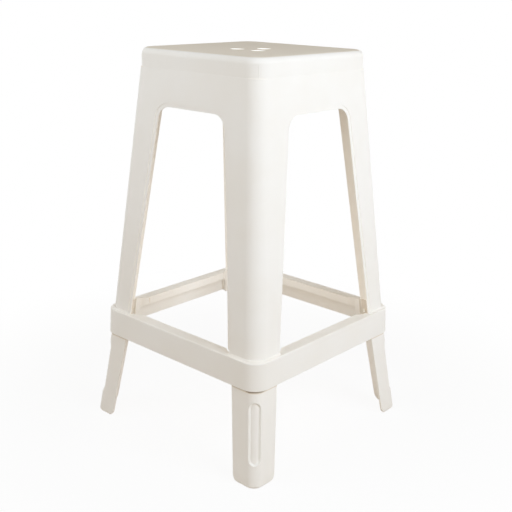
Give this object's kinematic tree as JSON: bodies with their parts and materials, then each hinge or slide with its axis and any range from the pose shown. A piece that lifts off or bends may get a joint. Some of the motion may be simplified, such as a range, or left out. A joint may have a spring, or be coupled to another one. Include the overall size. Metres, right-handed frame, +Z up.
{
  "type": "stacking stool",
  "caption": "Square moulded plastic stacking stool with four flared legs, arched sides, a footrest ring low down and a shallow dished seat with small round holes.",
  "frame": {"origin": "on the floor at the middle of the four feet", "axes": "+Z up from the floor to the seat; +X and -Y square to two sides, so the corners lie on the diagonals; the front is -Y"},
  "size_m": [0.3936, 0.3936, 0.65],
  "materials": {
    "shell_plastic": "fine matte",
    "ring_plastic": "fine matte",
    "leg_plastic": "fine matte",
    "screw_steel": "plated"
  },
  "bodies": {
    "root": {"seat_and_legs": "shell_plastic", "footrest_ring": "ring_plastic", "lower_leg_front_right": "leg_plastic", "lower_leg_rear_right": "leg_plastic", "lower_leg_rear_left": "leg_plastic", "lower_leg_front_left": "leg_plastic", "ring_screws": "screw_steel"}
  },
  "joints": []
}
